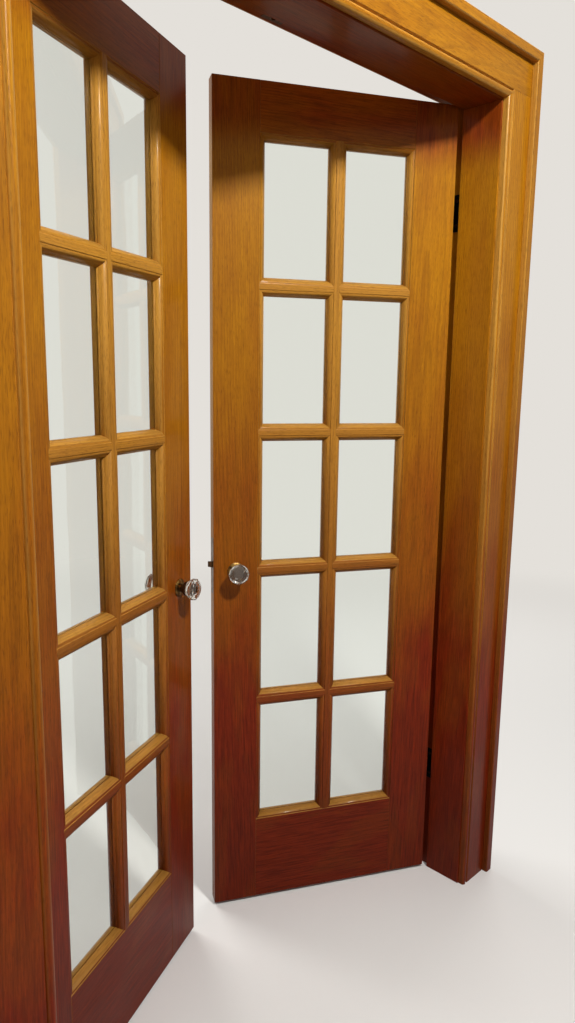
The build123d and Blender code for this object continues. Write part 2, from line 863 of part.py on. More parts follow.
with BuildPart() as rose:
    with BuildSketch(Plane.XZ):
        with BuildLine():
            Polyline((shank_radius + running_clearance, 0), (rose_radius, 0), (rose_radius, rose_rim))
            ThreePointArc(
                (rose_radius, rose_rim),
                ((rose_radius + shank_radius) / 2 + rose_rim, rose_thickness - rose_rim / 2),
                (shank_radius + rose_rim, rose_thickness),
            )
            Polyline((shank_radius + rose_rim, rose_thickness),
                     (shank_radius + running_clearance, rose_thickness),
                     (shank_radius + running_clearance, 0))
        make_face()
    revolve(axis=Axis.Z)


def knob_spindle(leaf, side):
    """The square bar through a leaf from knob to knob."""
    with BuildPart() as spindle:
        with BuildSketch(knob_axis(leaf, side, HALL).offset(spindle_depth_in_knob)):
            Rectangle(spindle_side, spindle_side)
        extrude(amount=-(leaf_thickness + 2 * spindle_depth_in_knob))
    return spindle


def placed(piece, *places):
    """Copies of a finished piece at one or more places."""
    with BuildPart() as copies:
        with Locations(*places):
            add(piece.part)
    return copies


def leaf_screws(leaf, side, edge_places):
    """All the screws of one leaf: its hinges' and its edge plates'."""
    with BuildPart() as screws:
        with Locations(*hinge_screws(edge_plane(leaf, side, edge_offset, 1), side)):
            add(hinge_screw.part)
        with Locations(*edge_places):
            add(plate_screw.part)
    return screws


def cut_lock_edge(leaf, side, openings):
    """Blind cuts in a lock edge: each a middle height, width, height and depth."""
    with BuildPart() as cuts:
        for middle, width, height, depth in openings:
            with BuildSketch(lock_plane(leaf, side)):
                with Locations((0, middle)):
                    Rectangle(width, height)
            extrude(amount=-depth)
    return cuts.part


def woodwork(leaf, side, name):
    """Stiles, rails, bars, glass and beads of one leaf; its lock stile is returned for its cuts."""
    hinge_stile = stile(leaf, side, edge_offset, 1)
    with BuildPart() as hung:
        add(hinge_stile.part)
        add(hinge_pockets(leaf, -side), mode=Mode.SUBTRACT)
        with Locations(*hinge_screws(edge_plane(leaf, side, edge_offset, 1), side)):
            Hole(screw_hole, depth=screw_length)
    save(hung, f"{name}_hinge_stile")
    save(rail(leaf, side, floor_gap, lites_bottom, 1, rail_tenons[0]), f"{name}_bottom_rail")
    save(rail(leaf, side, leaf_top, lites_top, -1, rail_tenons[1]), f"{name}_top_rail")
    save(upright_bar(leaf, side), f"{name}_upright_bar")

    face = face_plane(leaf)
    middle = across_leaf(side, leaf_middle)
    with BuildPart(face) as cross_bars:
        for way, bar in zip((-1, 1), bar_by_column):
            with Locations(*[(middle + way * lite_pitch_x / 2, z) for z in bar_places]):
                add(bar)
    save(cross_bars, f"{name}_cross_bars")
    with BuildPart(face) as panes:
        with Locations((middle, lites_middle, -glass_seat)):
            with GridLocations(lite_pitch_x, lite_pitch_z, columns, rows):
                Box(
                    lite_width - 2 * (moulding - rebate_width + glass_edge_gap),
                    lite_height - 2 * (moulding - rebate_width + glass_edge_gap),
                    glass_thickness,
                    align=(Align.CENTER, Align.CENTER, Align.MAX),
                )
    save(panes, f"{name}_panes")
    with BuildPart(face) as beads:
        with Locations((middle, lites_middle)):
            with GridLocations(lite_pitch_x, lite_pitch_z, columns, rows):
                add(beads_of_a_pane)
    save(beads, f"{name}_glazing_beads")
    save(hinge_leaves(leaf, -side, leaf_knuckles), f"{name}_leaf_hinge_leaves")
    return stile(leaf, side, leaf_reach, -1)


def knobs(leaf, side, name):
    """Glass knobs, shanks, roses and spindle of one leaf."""
    axes = [knob_axis(leaf, side, facing) for facing in (HALL, ROOM)]
    for axis, face_name in zip(axes, ("hall", "room")):
        save(placed(glass_knob, axis), f"{name}_{face_name}_knob")
    save(placed(shank, *axes), f"{name}_knob_shanks")
    save(placed(rose, *axes), f"{name}_roses")
    save(knob_spindle(leaf, side), f"{name}_knob_spindle")


def edge_plate(leaf, side, middle, width, height, thickness, slots):
    """A flat plate let into a lock edge, with its slots and two countersunk holes."""
    with BuildPart() as plate:
        with BuildSketch(lock_plane(leaf, side)):
            with Locations((0, middle)):
                Rectangle(width, height)
            for slot_middle, slot_width, slot_height in slots:
                with Locations((0, slot_middle)):
                    Rectangle(slot_width, slot_height, mode=Mode.SUBTRACT)
        extrude(amount=-thickness)
        with Locations(*plate_screws(leaf, side, middle, height)):
            CounterSinkHole(screw_hole, screw_head_radius + screw_clearance, counter_sink_angle=countersink)
    return plate


def latch(leaf, side, name):
    """Latch case, its face plate, hub and bolt."""
    mouth = (bolt_z, bolt_thickness + 2 * bolt_clearance, bolt_height + 2 * bolt_clearance)
    save(edge_plate(leaf, side, face_z, face_width, face_height, face_thickness, [mouth]),
         f"{name}_latch_faceplate")
    spindle_plane = knob_axis(leaf, side, HALL)
    inner_height = case_height - 2 * case_wall
    inner_thickness = case_thickness - 2 * case_wall
    with BuildPart() as case:
        with BuildSketch(lock_plane(leaf, side, face_thickness)):
            with Locations((0, face_z)):
                Rectangle(case_thickness, case_height)
        extrude(amount=-case_depth)
        with BuildSketch(lock_plane(leaf, side, face_thickness)):
            with Locations((0, face_z)):
                Rectangle(inner_thickness, inner_height)
        extrude(amount=case_wall - case_depth, mode=Mode.SUBTRACT)
        with Locations(spindle_plane):
            Hole(hub_journal + running_clearance)
    save(case, f"{name}_latch_case")

    tilt = radians(hub_tilt)
    # the arm leans towards the lock edge at rest
    tip = (-side * hub_arm * sin(tilt), hub_arm * cos(tilt))
    hub_half = inner_thickness / 2 - latch_play
    with BuildPart() as hub:
        with BuildSketch(spindle_plane.offset(-centre_depth - hub_half)):
            Circle(hub_radius)
            SlotCenterPoint((tip[0] / 2, tip[1] / 2), tip, 2 * hub_arm_half)
            with Locations(tip):
                Circle(hub_arm_tip)
        extrude(amount=2 * hub_half)
        with BuildSketch(spindle_plane.offset(-centre_depth - case_thickness / 2)):
            Circle(hub_journal)
        extrude(amount=case_thickness)
        with BuildSketch(spindle_plane.offset(-centre_depth - case_thickness / 2)):
            Rectangle(spindle_side + 2 * spindle_clearance, spindle_side + 2 * spindle_clearance)
        extrude(amount=case_thickness, mode=Mode.SUBTRACT)
    save(hub, f"{name}_latch_hub")

    body_back = face_thickness + bolt_body
    tab_front = backset - hub_arm * sin(tilt) + hub_arm_tip + latch_play
    tail_low = knob_z + hub_arm + hub_arm_tip + latch_play
    tab_low = knob_z + hub_radius + latch_play
    with BuildPart() as bolt:
        with BuildSketch(lock_plane(leaf, side, body_back)):
            with Locations((0, bolt_z)):
                Rectangle(bolt_thickness, bolt_height)
        extrude(amount=body_back + bolt_throw)
        with BuildSketch(leaf.offset(bolt_z - bolt_height)):
            nose = across_leaf(side, leaf_reach + bolt_nose)
            end = across_leaf(side, leaf_reach + bolt_throw)
            hall_face = centre_depth - bolt_thickness / 2 - pin_depth
            room_face = centre_depth + bolt_thickness / 2 - pin_depth
            Polygon((nose, hall_face), (end, hall_face), (end, room_face), align=None)
        extrude(amount=2 * bolt_height, mode=Mode.SUBTRACT)
        with BuildSketch(face_plane(leaf, centre_depth - bolt_thickness / 2)):
            rectangle_between(across_leaf(side, leaf_reach - body_back), tail_low,
                              across_leaf(side, leaf_reach - tab_front - tail_tab), tail_low + tail_height)
            rectangle_between(across_leaf(side, leaf_reach - tab_front), tab_low,
                              across_leaf(side, leaf_reach - tab_front - tail_tab), tail_low + tail_height)
        extrude(amount=-bolt_thickness)
    save(bolt, f"{name}_latch_bolt")


def flush_bolt(leaf, side, end, up):
    """A flush bolt's rod with its thumb piece, from near a leaf's end."""
    thumb = end - up * (flush_inset + flush_height / 2)
    rod_place = Vector(across_leaf(side, leaf_reach - flush_rod_inset), centre_depth - pin_depth, 0)
    rod_plane = Plane(origin=leaf.from_local_coords(rod_place), x_dir=leaf.x_dir, z_dir=UP)
    foot = thumb - up * flush_thumb_height / 2
    with BuildPart() as rod:
        with BuildSketch(rod_plane.offset(foot)):
            Circle(flush_rod_radius)
        extrude(amount=end - up * flush_rod_sunk - foot)
        with BuildSketch(lock_plane(leaf, side, flush_thumb_sunk)):
            with Locations((0, thumb)):
                Rectangle(flush_thumb_width, flush_thumb_height)
        extrude(amount=flush_thumb_sunk - flush_rod_inset)
    return rod, rod_plane


# The right leaf, which latches

right_leaf = pin_frame(1, right_open)
right_lock_stile = woodwork(right_leaf, 1, "right")
knobs(right_leaf, 1, "right")
latch(right_leaf, 1, "right")

with BuildPart() as lock_stile:
    add(right_lock_stile.part)
    add(cut_lock_edge(right_leaf, 1, [
        (face_z, face_width, face_height, face_thickness),
        (face_z, case_thickness, case_height, case_back),
    ]), mode=Mode.SUBTRACT)
    with Locations(knob_axis(right_leaf, 1, HALL)):
        Hole(spindle_hole_radius)
    with Locations(*plate_screws(right_leaf, 1, face_z, face_height)):
        Hole(screw_hole, depth=short_screw_length)
save(lock_stile, "right_lock_stile")
save(leaf_screws(right_leaf, 1, plate_screws(right_leaf, 1, face_z, face_height)), "right_leaf_screws")

# The left leaf, which is bolted at its top and foot and takes the latch

left_leaf = pin_frame(-1, left_open)
left_lock_stile = woodwork(left_leaf, -1, "left")
knobs(left_leaf, -1, "left")

strike_width = bolt_thickness + 2 * strike_clearance
strike_opening = bolt_height + 2 * strike_clearance
save(edge_plate(left_leaf, -1, bolt_z, face_width, strike_height, strike_thickness,
                [(bolt_z, strike_width, strike_opening)]), "strike_plate")

slot_height = flush_thumb_height + flush_travel + 2 * strike_clearance
flush_cuts = []
flush_plates = []
flush_screws = []
flush_holes = []
for end, up, name in ((floor_gap, -1, "lower"), (leaf_top, 1, "upper")):
    middle = end - up * (flush_inset + flush_height / 2)
    slot = middle + up * flush_travel / 2
    plate = edge_plate(left_leaf, -1, middle, flush_width, flush_height, flush_thickness,
                       [(slot, flush_slot_width, slot_height)])
    flush_plates.append(plate.part)
    flush_screws += plate_screws(left_leaf, -1, middle, flush_height)
    flush_cuts.append((middle, flush_width, flush_height, flush_thickness))
    flush_cuts.append((slot, flush_slot_width, slot_height, flush_pocket_depth))
    rod, rod_plane = flush_bolt(left_leaf, -1, end, up)
    save(rod, f"{name}_flush_bolt")
    with BuildPart() as bore:
        with BuildSketch(rod_plane.offset(end)):
            Circle(flush_rod_radius + running_clearance)
        extrude(amount=middle - end)
    flush_holes.append(bore.part)

with BuildPart() as plates:
    for plate in flush_plates:
        add(plate)
save(plates, "flush_bolt_plates")

with BuildPart() as lock_stile:
    add(left_lock_stile.part)
    add(cut_lock_edge(left_leaf, -1, flush_cuts + [
        (bolt_z, face_width, strike_height, strike_thickness),
        (bolt_z, strike_width, strike_opening, strike_pocket),
    ]), mode=Mode.SUBTRACT)
    for bore in flush_holes:
        add(bore, mode=Mode.SUBTRACT)
    with Locations(knob_axis(left_leaf, -1, HALL)):
        Hole(spindle_hole_radius)
    with Locations(*plate_screws(left_leaf, -1, bolt_z, strike_height), *flush_screws):
        Hole(screw_hole, depth=short_screw_length)
save(lock_stile, "left_lock_stile")
edge_screws = plate_screws(left_leaf, -1, bolt_z, strike_height) + flush_screws
save(leaf_screws(left_leaf, -1, edge_screws), "left_leaf_screws")
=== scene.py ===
"""French doors: varnished oak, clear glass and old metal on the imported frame, as an add-on."""

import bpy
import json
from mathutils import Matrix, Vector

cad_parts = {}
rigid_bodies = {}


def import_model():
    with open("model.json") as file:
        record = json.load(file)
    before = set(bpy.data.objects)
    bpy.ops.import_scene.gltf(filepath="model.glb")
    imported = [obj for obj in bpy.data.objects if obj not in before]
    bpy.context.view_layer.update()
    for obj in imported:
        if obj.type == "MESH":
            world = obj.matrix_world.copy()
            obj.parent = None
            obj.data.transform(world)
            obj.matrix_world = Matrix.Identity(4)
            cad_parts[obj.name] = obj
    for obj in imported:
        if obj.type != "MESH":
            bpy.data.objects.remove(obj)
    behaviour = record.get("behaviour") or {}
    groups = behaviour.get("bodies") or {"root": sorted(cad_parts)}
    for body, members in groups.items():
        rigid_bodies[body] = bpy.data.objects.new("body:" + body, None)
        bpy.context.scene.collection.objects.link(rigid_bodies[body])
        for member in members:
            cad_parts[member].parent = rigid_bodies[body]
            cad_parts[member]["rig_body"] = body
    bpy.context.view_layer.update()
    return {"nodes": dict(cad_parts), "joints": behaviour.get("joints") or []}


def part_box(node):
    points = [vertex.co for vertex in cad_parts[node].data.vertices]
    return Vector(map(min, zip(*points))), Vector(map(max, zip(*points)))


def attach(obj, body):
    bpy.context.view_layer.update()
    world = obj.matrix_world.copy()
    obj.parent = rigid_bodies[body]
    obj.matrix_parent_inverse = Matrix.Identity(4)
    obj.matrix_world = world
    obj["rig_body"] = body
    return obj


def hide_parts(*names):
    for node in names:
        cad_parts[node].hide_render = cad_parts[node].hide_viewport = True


bl_info = {
    "name": "French doors",
    "version": (1, 0, 0),
    "blender": (4, 5, 0),
    "location": "View3D > Sidebar > French doors",
    "description": "Dresses a pair of glazed french doors and their cased frame",
    "category": "Object",
}

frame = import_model()

import json
from itertools import pairwise
from math import cos, pi, radians, sin
from random import Random

import bmesh
import bpy
from bpy.props import FloatProperty, FloatVectorProperty, IntProperty, PointerProperty
from mathutils import Matrix, Vector

MM = 0.001
SIDES = ("left", "right")
LEAF_THICKNESS = 35 * MM
MERGE = 0.005 * MM          # vertices this close in a CAD mesh are one
FLAT = radians(0.5)         # faces that turn less than this are one face
ARRIS = radians(50)         # edges sharper than this are eased,
LONG = 8                    # where they are this many times as long as the easing
SMOOTH = radians(38)        # faces that turn less than this are shaded as one surface
CREASE = radians(9)         # edges of a knob sharper than this are rounded
SLOT_SHORTER = 1.1          # a slot stops this many of its depths short of the head's rim
HEAD_AREA = 40 * MM ** 2    # a screw's head is larger, its shank smaller
BEAD_WIDTH = 30 * MM        # a glazing bead that rises less than this lies across

UPRIGHT, ACROSS = 0.0, pi / 2          # a board's grain, as its turn about Y
PITH_SPREAD = (0.5, 0.9, 0.5)          # how far the pith strays, in pith depths
LEAN = radians(1.6)                    # how far the trunk may lean in a board
TONE_SPREAD = 0.05                     # how much lighter or darker one board may be
SHADE_EDGE = 100 * MM                  # over this height the head's painted shadow begins
BAR_FACE_LIGHT = 0.7                      # share of painted light on the flats of bars and beads, which catch the light from above


# Colours and frames of reference


def linear(colour):
    """The linear RGBA of an sRGB hex colour."""
    channels = [int(colour[start:start + 2], 16) / 255 for start in (1, 3, 5)]
    light = [c / 12.92 if c <= 0.04045 else ((c + 0.055) / 1.055) ** 2.4 for c in channels]
    return (*light, 1.0)


def toned(colour, factor):
    """A linear colour made lighter or darker."""
    return (*(channel * factor for channel in colour[:3]), 1.0)


def middle(node):
    """The middle of a CAD node's box."""
    low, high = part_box(node)
    return (low + high) / 2


def leaf_turn(side):
    """How far a leaf is turned about the upright at rest.  Its joint is shut at the lower limit."""
    swing = next(joint for joint in frame["joints"] if joint["name"] == f"{side}_leaf_swing")
    return -radians(swing["range_deg"][0]) * swing["axis"][2]


def knob_place(side, facing):
    """The frame of one knob: its origin on the leaf's face and its Z out of the wood."""
    towards = -1 if facing == "hall" else 1
    spindle = middle(f"{side}_knob_spindle")
    return (
        Matrix.Translation(spindle)
        @ Matrix.Rotation(leaf_turn(side), 4, "Z")
        @ Matrix.Rotation(-towards * pi / 2, 4, "X")
        @ Matrix.Translation((0, 0, LEAF_THICKNESS / 2))
    )


# Shapes


def finished(shape, name, materials, weighted=True):
    """Make a piece of a bmesh, with its place in its mesh, smooth between its sharp edges."""
    mesh = bpy.data.meshes.new(name)
    shape.to_mesh(mesh)
    shape.free()
    mesh.shade_smooth()
    mesh.set_sharp_from_angle(angle=SMOOTH)
    for material in materials:
        mesh.materials.append(material)
    piece = bpy.data.objects.new(name, mesh)
    bpy.context.scene.collection.objects.link(piece)
    if weighted:
        shading = piece.modifiers.new("flat faces stay flat", "WEIGHTED_NORMAL")
        shading.keep_sharp = True
    return piece


def merged_copy(node):
    """A CAD node's mesh as whole faces, ready to work on."""
    shape = bmesh.new()
    shape.from_mesh(frame["nodes"][node].data)
    bmesh.ops.remove_doubles(shape, verts=shape.verts, dist=MERGE)
    bmesh.ops.dissolve_limit(shape, angle_limit=FLAT, verts=shape.verts, edges=shape.edges)
    return shape


def eased(shape, ease):
    """Round the long outer arrises, as sandpaper and varnish leave them.

    An arris that ends in the short facets of a curve stays as it is: the facets would hold every
    rounding of the board down to their own width.
    """
    arrises = [
        edge for edge in shape.edges
        if edge.is_manifold and edge.is_convex
        and edge.calc_face_angle() > ARRIS and edge.calc_length() > LONG * ease
        and all(near.calc_length() > ease for vert in edge.verts for near in vert.link_edges)
    ]
    rounded(shape, arrises, ease)
    bmesh.ops.dissolve_degenerate(shape, dist=MERGE, edges=shape.edges)
    return shape


def rounded(shape, edges, radius):
    """Round some edges of a mesh."""
    bmesh.ops.bevel(shape, geom=edges, offset=radius, offset_type="OFFSET", segments=2,
                    profile=0.5, affect="EDGES", clamp_overlap=True, material=-1)


def loose_parts(shape):
    """The faces of each separate solid in a mesh."""
    waiting = set(shape.faces)
    while waiting:
        part = {waiting.pop()}
        rim = set(part)
        while rim:
            rim = {face for seen in rim for edge in seen.edges for face in edge.link_faces}
            rim &= waiting
            waiting -= rim
            part |= rim
        yield part


def stands_for(piece, node):
    """A piece takes a CAD node's place and moves with its body."""
    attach(piece, frame["nodes"][node]["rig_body"])
    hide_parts(node)


def dress(node, material):
    """Give a CAD node its material."""
    mesh = frame["nodes"][node].data
    mesh.materials.clear()
    mesh.materials.append(material)


# Materials


def add(tree, kind, settings, inputs):
    """Add one node, with its settings, its sockets' values and the sockets that feed it."""
    node = tree.nodes.new(f"ShaderNode{kind}")
    for name, value in settings.items():
        setattr(node, name, value)
    for name, value in inputs.items():
        if isinstance(value, bpy.types.NodeSocket):
            tree.links.new(value, node.inputs[name])
        else:
            node.inputs[name].default_value = value
    return node


# Sockets of a Mix node that mixes colours
SHARE, FIRST, SECOND, MIXED = 0, 6, 7, 2


def new_material(name):
    """An empty material and its node tree."""
    material = bpy.data.materials.new(name)
    material.use_nodes = True
    tree = material.node_tree
    tree.nodes.clear()
    return material, tree


def show(tree, shader):
    """Put a shader on the surface."""
    add(tree, "OutputMaterial", {}, {"Surface": shader.outputs[0]})


def cells(size):
    """The scale of a noise texture whose cells have this size."""
    return 1 / size


def oak_figure(tree, trunk):
    """The figure of plain-sawn oak, as the shares of ring, streak and pore at each point."""
    finish = bpy.context.scene.french_door_finish
    # soft waves in the rings, 91 mm wide and a dozen times as long, push them 20 mm about
    long = add(tree, "VectorMath", {"operation": "MULTIPLY"}, {
        0: trunk.outputs[0], 1: (1, 1, 0.08)})
    wave = add(tree, "TexNoise", {}, {
        "Vector": long.outputs[0], "Scale": cells(91 * MM), "Detail": 2.0})
    centred = add(tree, "VectorMath", {"operation": "SUBTRACT"}, {
        0: wave.outputs["Color"], 1: (0.5, 0.5, 0.5)})
    push = add(tree, "VectorMath", {"operation": "SCALE"}, {
        0: centred.outputs[0], "Scale": 40 * MM})
    wandering = add(tree, "VectorMath", {"operation": "ADD"}, {
        0: long.outputs[0], 1: push.outputs[0]})
    # a Wave texture repeats every pi/10 of its scaled radius
    rings = add(tree, "TexWave", {
        "wave_type": "RINGS", "rings_direction": "Z", "wave_profile": "SAW",
    }, {
        "Vector": wandering.outputs[0],
        "Scale": pi / 10 / finish.ring_width,
        "Distortion": 1.4,
        "Detail": 3.0,
        "Detail Scale": 2.5,
        "Detail Roughness": 0.6,
    })
    ring = add(tree, "MapRange", {"interpolation_type": "SMOOTHSTEP"}, {
        "Value": rings.outputs["Fac"], "From Min": 0.45, "From Max": 1.0,
        "To Min": 0.0, "To Max": 1.0})
    # streaks 3.3 mm wide and 80 mm long, which break the rings up
    fine = add(tree, "VectorMath", {"operation": "MULTIPLY"}, {
        0: trunk.outputs[0], 1: (1, 1, 0.04)})
    streaks = add(tree, "TexNoise", {}, {
        "Vector": fine.outputs[0], "Scale": cells(3.333 * MM), "Detail": 4.0, "Roughness": 0.65})
    streak = add(tree, "MapRange", {}, {
        "Value": streaks.outputs["Fac"], "From Min": 0.3, "From Max": 0.7,
        "To Min": 0.0, "To Max": 1.0})
    # pores, drawn 1 mm wide and 15 mm long, coarser than the real 0.3 mm, so that they show
    short = add(tree, "VectorMath", {"operation": "MULTIPLY"}, {
        0: trunk.outputs[0], 1: (1, 1, 0.07)})
    pores = add(tree, "TexNoise", {}, {
        "Vector": short.outputs[0], "Scale": cells(1.0526 * MM), "Detail": 1.0})
    pore = add(tree, "MapRange", {}, {
        "Value": pores.outputs["Fac"], "From Min": 0.55, "From Max": 0.7,
        "To Min": 0.0, "To Max": 1.0})
    return ring.outputs[0], streak.outputs[0], pore.outputs[0]


def painted_red_shade(tree, height, under_head_shadow):
    """Painted shade as red in the varnish: towards the floor, where the light falls off, and under
    the head, in its shadow, on the boards that it shades.
    """
    finish = bpy.context.scene.french_door_finish
    low = add(tree, "MapRange", {"interpolation_type": "SMOOTHSTEP"}, {
        "Value": height, "From Min": finish.red_shade_up_to, "From Max": finish.red_shade_ends_at,
        "To Min": finish.red_shade_share, "To Max": 0.0})
    if not under_head_shadow:
        return low.outputs[0]
    high = add(tree, "MapRange", {"interpolation_type": "SMOOTHSTEP"}, {
        "Value": height, "From Min": finish.shade_from, "From Max": finish.shade_from + SHADE_EDGE,
        "To Min": 0.0, "To Max": finish.shade_share})
    either = add(tree, "Math", {"operation": "MAXIMUM"}, {0: low.outputs[0], 1: high.outputs[0]})
    return either.outputs[0]


def worn_and_lit(tree, place, grain, red, face_light):
    """How light the varnish is made: partly worn thin, partly painted light, on mouldings and
    arrises, which turn away from the board's face; painted light on ledges that face up, and on the
    board's face by the share given.
    """
    finish = bpy.context.scene.french_door_finish
    # partly wear, partly painted light: faces that turn away from the board's face are lighter, and
    # the board's face itself by the share given
    facing = add(tree, "VectorMath", {"operation": "DOT_PRODUCT"}, {
        0: place.outputs["Normal"], 1: (sin(grain[1]), -cos(grain[1]), 0)})
    flatness = add(tree, "Math", {"operation": "ABSOLUTE"}, {0: facing.outputs["Value"]})
    turned = add(tree, "MapRange", {}, {
        "Value": flatness.outputs[0], "From Min": 0.97, "From Max": 0.75,
        "To Min": finish.wear_and_light_share * face_light, "To Max": finish.wear_and_light_share})
    # where the varnish is painted red as shade, it is made only a little lighter
    left = add(tree, "MapRange", {}, {
        "Value": red, "From Min": 0.0, "From Max": 1.0, "To Min": 1.0, "To Max": 0.12})
    rubbed = add(tree, "Math", {"operation": "MULTIPLY"}, {
        0: turned.outputs[0], 1: left.outputs[0]})
    # painted light: the ledges of the mouldings that face up are lighter all the way down, as the
    # light from above falls on them
    rise = add(tree, "SeparateXYZ", {}, {"Vector": place.outputs["Normal"]})
    lit_ledge = add(tree, "MapRange", {}, {
        "Value": rise.outputs["Z"], "From Min": 0.2, "From Max": 0.6,
        "To Min": 0.0, "To Max": finish.wear_and_light_share})
    thin = add(tree, "Math", {"operation": "MAXIMUM"}, {0: rubbed.outputs[0], 1: lit_ledge.outputs[0]})
    return thin.outputs[0]


def varnished_oak(name, grain, seat, face_light, under_head_shadow):
    """Plain-sawn oak under old amber varnish: arched rings, long pores, a soft gloss on top.

    The grain is the board's direction, as turns about Y and Z, and the seat a point in the board.
    The pith, round which the rings lie, is behind the board and leans a little, so that the rings
    run out into arches along its length.  The varnish is rubbed thin on mouldings and arrises, which
    also carry painted light, as do ledges that face up and the board's face by the share given as
    face light; none of this where that is None.  Painted shade makes the varnish redder and darker
    towards the floor, and on a board under the head's shadow under the head of the frame too.
    """
    finish = bpy.context.scene.french_door_finish
    chance = Random(name)
    pith = Vector(seat) + Vector([
        chance.uniform(-1, 1) * finish.pith_depth * share for share in PITH_SPREAD])
    lean = [chance.uniform(-1, 1) * LEAN for _ in range(2)]
    tone = chance.uniform(1 - TONE_SPREAD, 1 + TONE_SPREAD)
    material, tree = new_material(name)
    place = add(tree, "TexCoord", {}, {})
    trunk = add(tree, "Mapping", {"vector_type": "TEXTURE"}, {
        "Vector": place.outputs["Object"],
        "Location": pith,
        "Rotation": (lean[0], grain[0] + lean[1], grain[1]),
    })
    ring, streak, pore = oak_figure(tree, trunk)
    base = add(tree, "Mix", {"data_type": "RGBA"}, {
        SHARE: streak, FIRST: toned(finish.oak_amber, tone), SECOND: toned(finish.oak_light, tone)})

    # painted shade: the varnish is redder towards the floor, where the light falls off, and under
    # the head, in its shadow; in patches of 77 mm by 260 mm it has yellowed or turned redder
    height = add(tree, "SeparateXYZ", {}, {"Vector": place.outputs["Object"]}).outputs["Z"]
    kept = painted_red_shade(tree, height, under_head_shadow)
    drawn = add(tree, "VectorMath", {"operation": "MULTIPLY"}, {
        0: trunk.outputs[0], 1: (1, 1, 0.3)})
    patches = add(tree, "TexNoise", {}, {
        "Vector": drawn.outputs[0], "Scale": cells(76.92 * MM), "Detail": 3.0})
    patch = add(tree, "MapRange", {}, {
        "Value": patches.outputs["Fac"], "From Min": 0.4, "From Max": 0.7,
        "To Min": 0.0, "To Max": 0.22})
    red_tone_and_shade = add(tree, "Math", {"operation": "ADD", "use_clamp": True}, {
        0: patch.outputs[0], 1: kept})
    red = add(tree, "Mix", {"data_type": "RGBA"}, {
        SHARE: streak,
        FIRST: toned(finish.oak_red, 0.55 * tone),
        SECOND: toned(finish.oak_red, 1.45 * tone),
    })
    varnish_light_shade = add(tree, "Mix", {"data_type": "RGBA"}, {
        SHARE: red_tone_and_shade.outputs[0], FIRST: base.outputs[MIXED], SECOND: red.outputs[MIXED]})
    # partly wear, partly painted light: mouldings, arrises, ledges and the faces of bars turn
    # lighter
    if face_light is not None:
        varnish_light_shade = add(tree, "Mix", {"data_type": "RGBA"}, {
            SHARE: worn_and_lit(tree, place, grain, kept, face_light),
            FIRST: varnish_light_shade.outputs[MIXED],
            SECOND: finish.oak_thin,
        })

    # rings and pores show brown through the varnish
    brown = toned(finish.oak_brown, tone)
    ring_share = add(tree, "Math", {"operation": "MULTIPLY"}, {0: ring, 1: 0.2})
    ringed = add(tree, "Mix", {"data_type": "RGBA"}, {
        SHARE: ring_share.outputs[0], FIRST: varnish_light_shade.outputs[MIXED], SECOND: brown})
    pore_share = add(tree, "Math", {"operation": "MULTIPLY"}, {0: pore, 1: 0.4})
    wood = add(tree, "Mix", {"data_type": "RGBA"}, {
        SHARE: pore_share.outputs[0], FIRST: ringed.outputs[MIXED], SECOND: brown})
    # painted shade: the wood darker towards the floor, where the light falls off
    painted_floor_shade = add(tree, "MapRange", {"interpolation_type": "SMOOTHSTEP"}, {
        "Value": height, "From Min": 0.1, "From Max": 0.6,
        "To Min": 1 - finish.painted_floor_shade, "To Max": 1.0})
    soiled = add(tree, "VectorMath", {"operation": "SCALE"}, {
        0: wood.outputs[MIXED], "Scale": painted_floor_shade.outputs[0]})

    roughness = add(tree, "MapRange", {}, {
        "Value": patches.outputs["Fac"], "From Min": 0.3, "From Max": 0.7,
        "To Min": 0.34, "To Max": 0.5})
    hollow = add(tree, "Math", {"operation": "MAXIMUM"}, {0: pore, 1: ring_share.outputs[0]})
    relief = add(tree, "Bump", {"invert": True}, {
        "Height": hollow.outputs[0], "Strength": 0.25, "Distance": 0.2 * MM})
    oak = add(tree, "BsdfPrincipled", {}, {
        "Base Color": soiled.outputs[0],
        "Roughness": roughness.outputs[0],
        "Normal": relief.outputs[0],
        "IOR": 1.5,
        "Specular IOR Level": 0.08,
        "Coat Weight": finish.varnish,
        "Coat Roughness": 0.16,
        "Coat IOR": 1.5,
    })
    show(tree, oak)
    return material


def window_glass():
    """Drawn window glass: clear, a trace of green, with a slow ripple in its reflections."""
    material, tree = new_material("drawn_window_glass")
    place = add(tree, "TexCoord", {}, {})
    ripple = add(tree, "TexNoise", {}, {
        "Vector": place.outputs["Object"], "Scale": cells(142.86 * MM), "Detail": 1.0})
    wave = add(tree, "Bump", {}, {
        "Height": ripple.outputs["Fac"], "Strength": 0.12, "Distance": 1.5 * MM})
    glass = add(tree, "BsdfPrincipled", {}, {
        "Base Color": linear("#F6FBF7"),
        "Roughness": 0.0,
        "IOR": 1.5,
        "Transmission Weight": 1.0,
        "Normal": wave.outputs[0],
    })
    show(tree, glass)
    return material


def knob_glass():
    """Pressed and fire-polished flint glass: clear, bright and a little grey with age."""
    material, tree = new_material("pressed_flint_glass")
    place = add(tree, "TexCoord", {}, {})
    ripple = add(tree, "TexNoise", {}, {
        "Vector": place.outputs["Object"], "Scale": cells(6.25 * MM), "Detail": 1.0})
    wave = add(tree, "Bump", {}, {
        "Height": ripple.outputs["Fac"], "Strength": 0.1, "Distance": 0.2 * MM})
    glass = add(tree, "BsdfPrincipled", {}, {
        "Base Color": linear("#F2F1EA"),
        "Roughness": 0.015,
        "IOR": 1.58,
        "Transmission Weight": 1.0,
        "Normal": wave.outputs[0],
    })
    show(tree, glass)
    return material


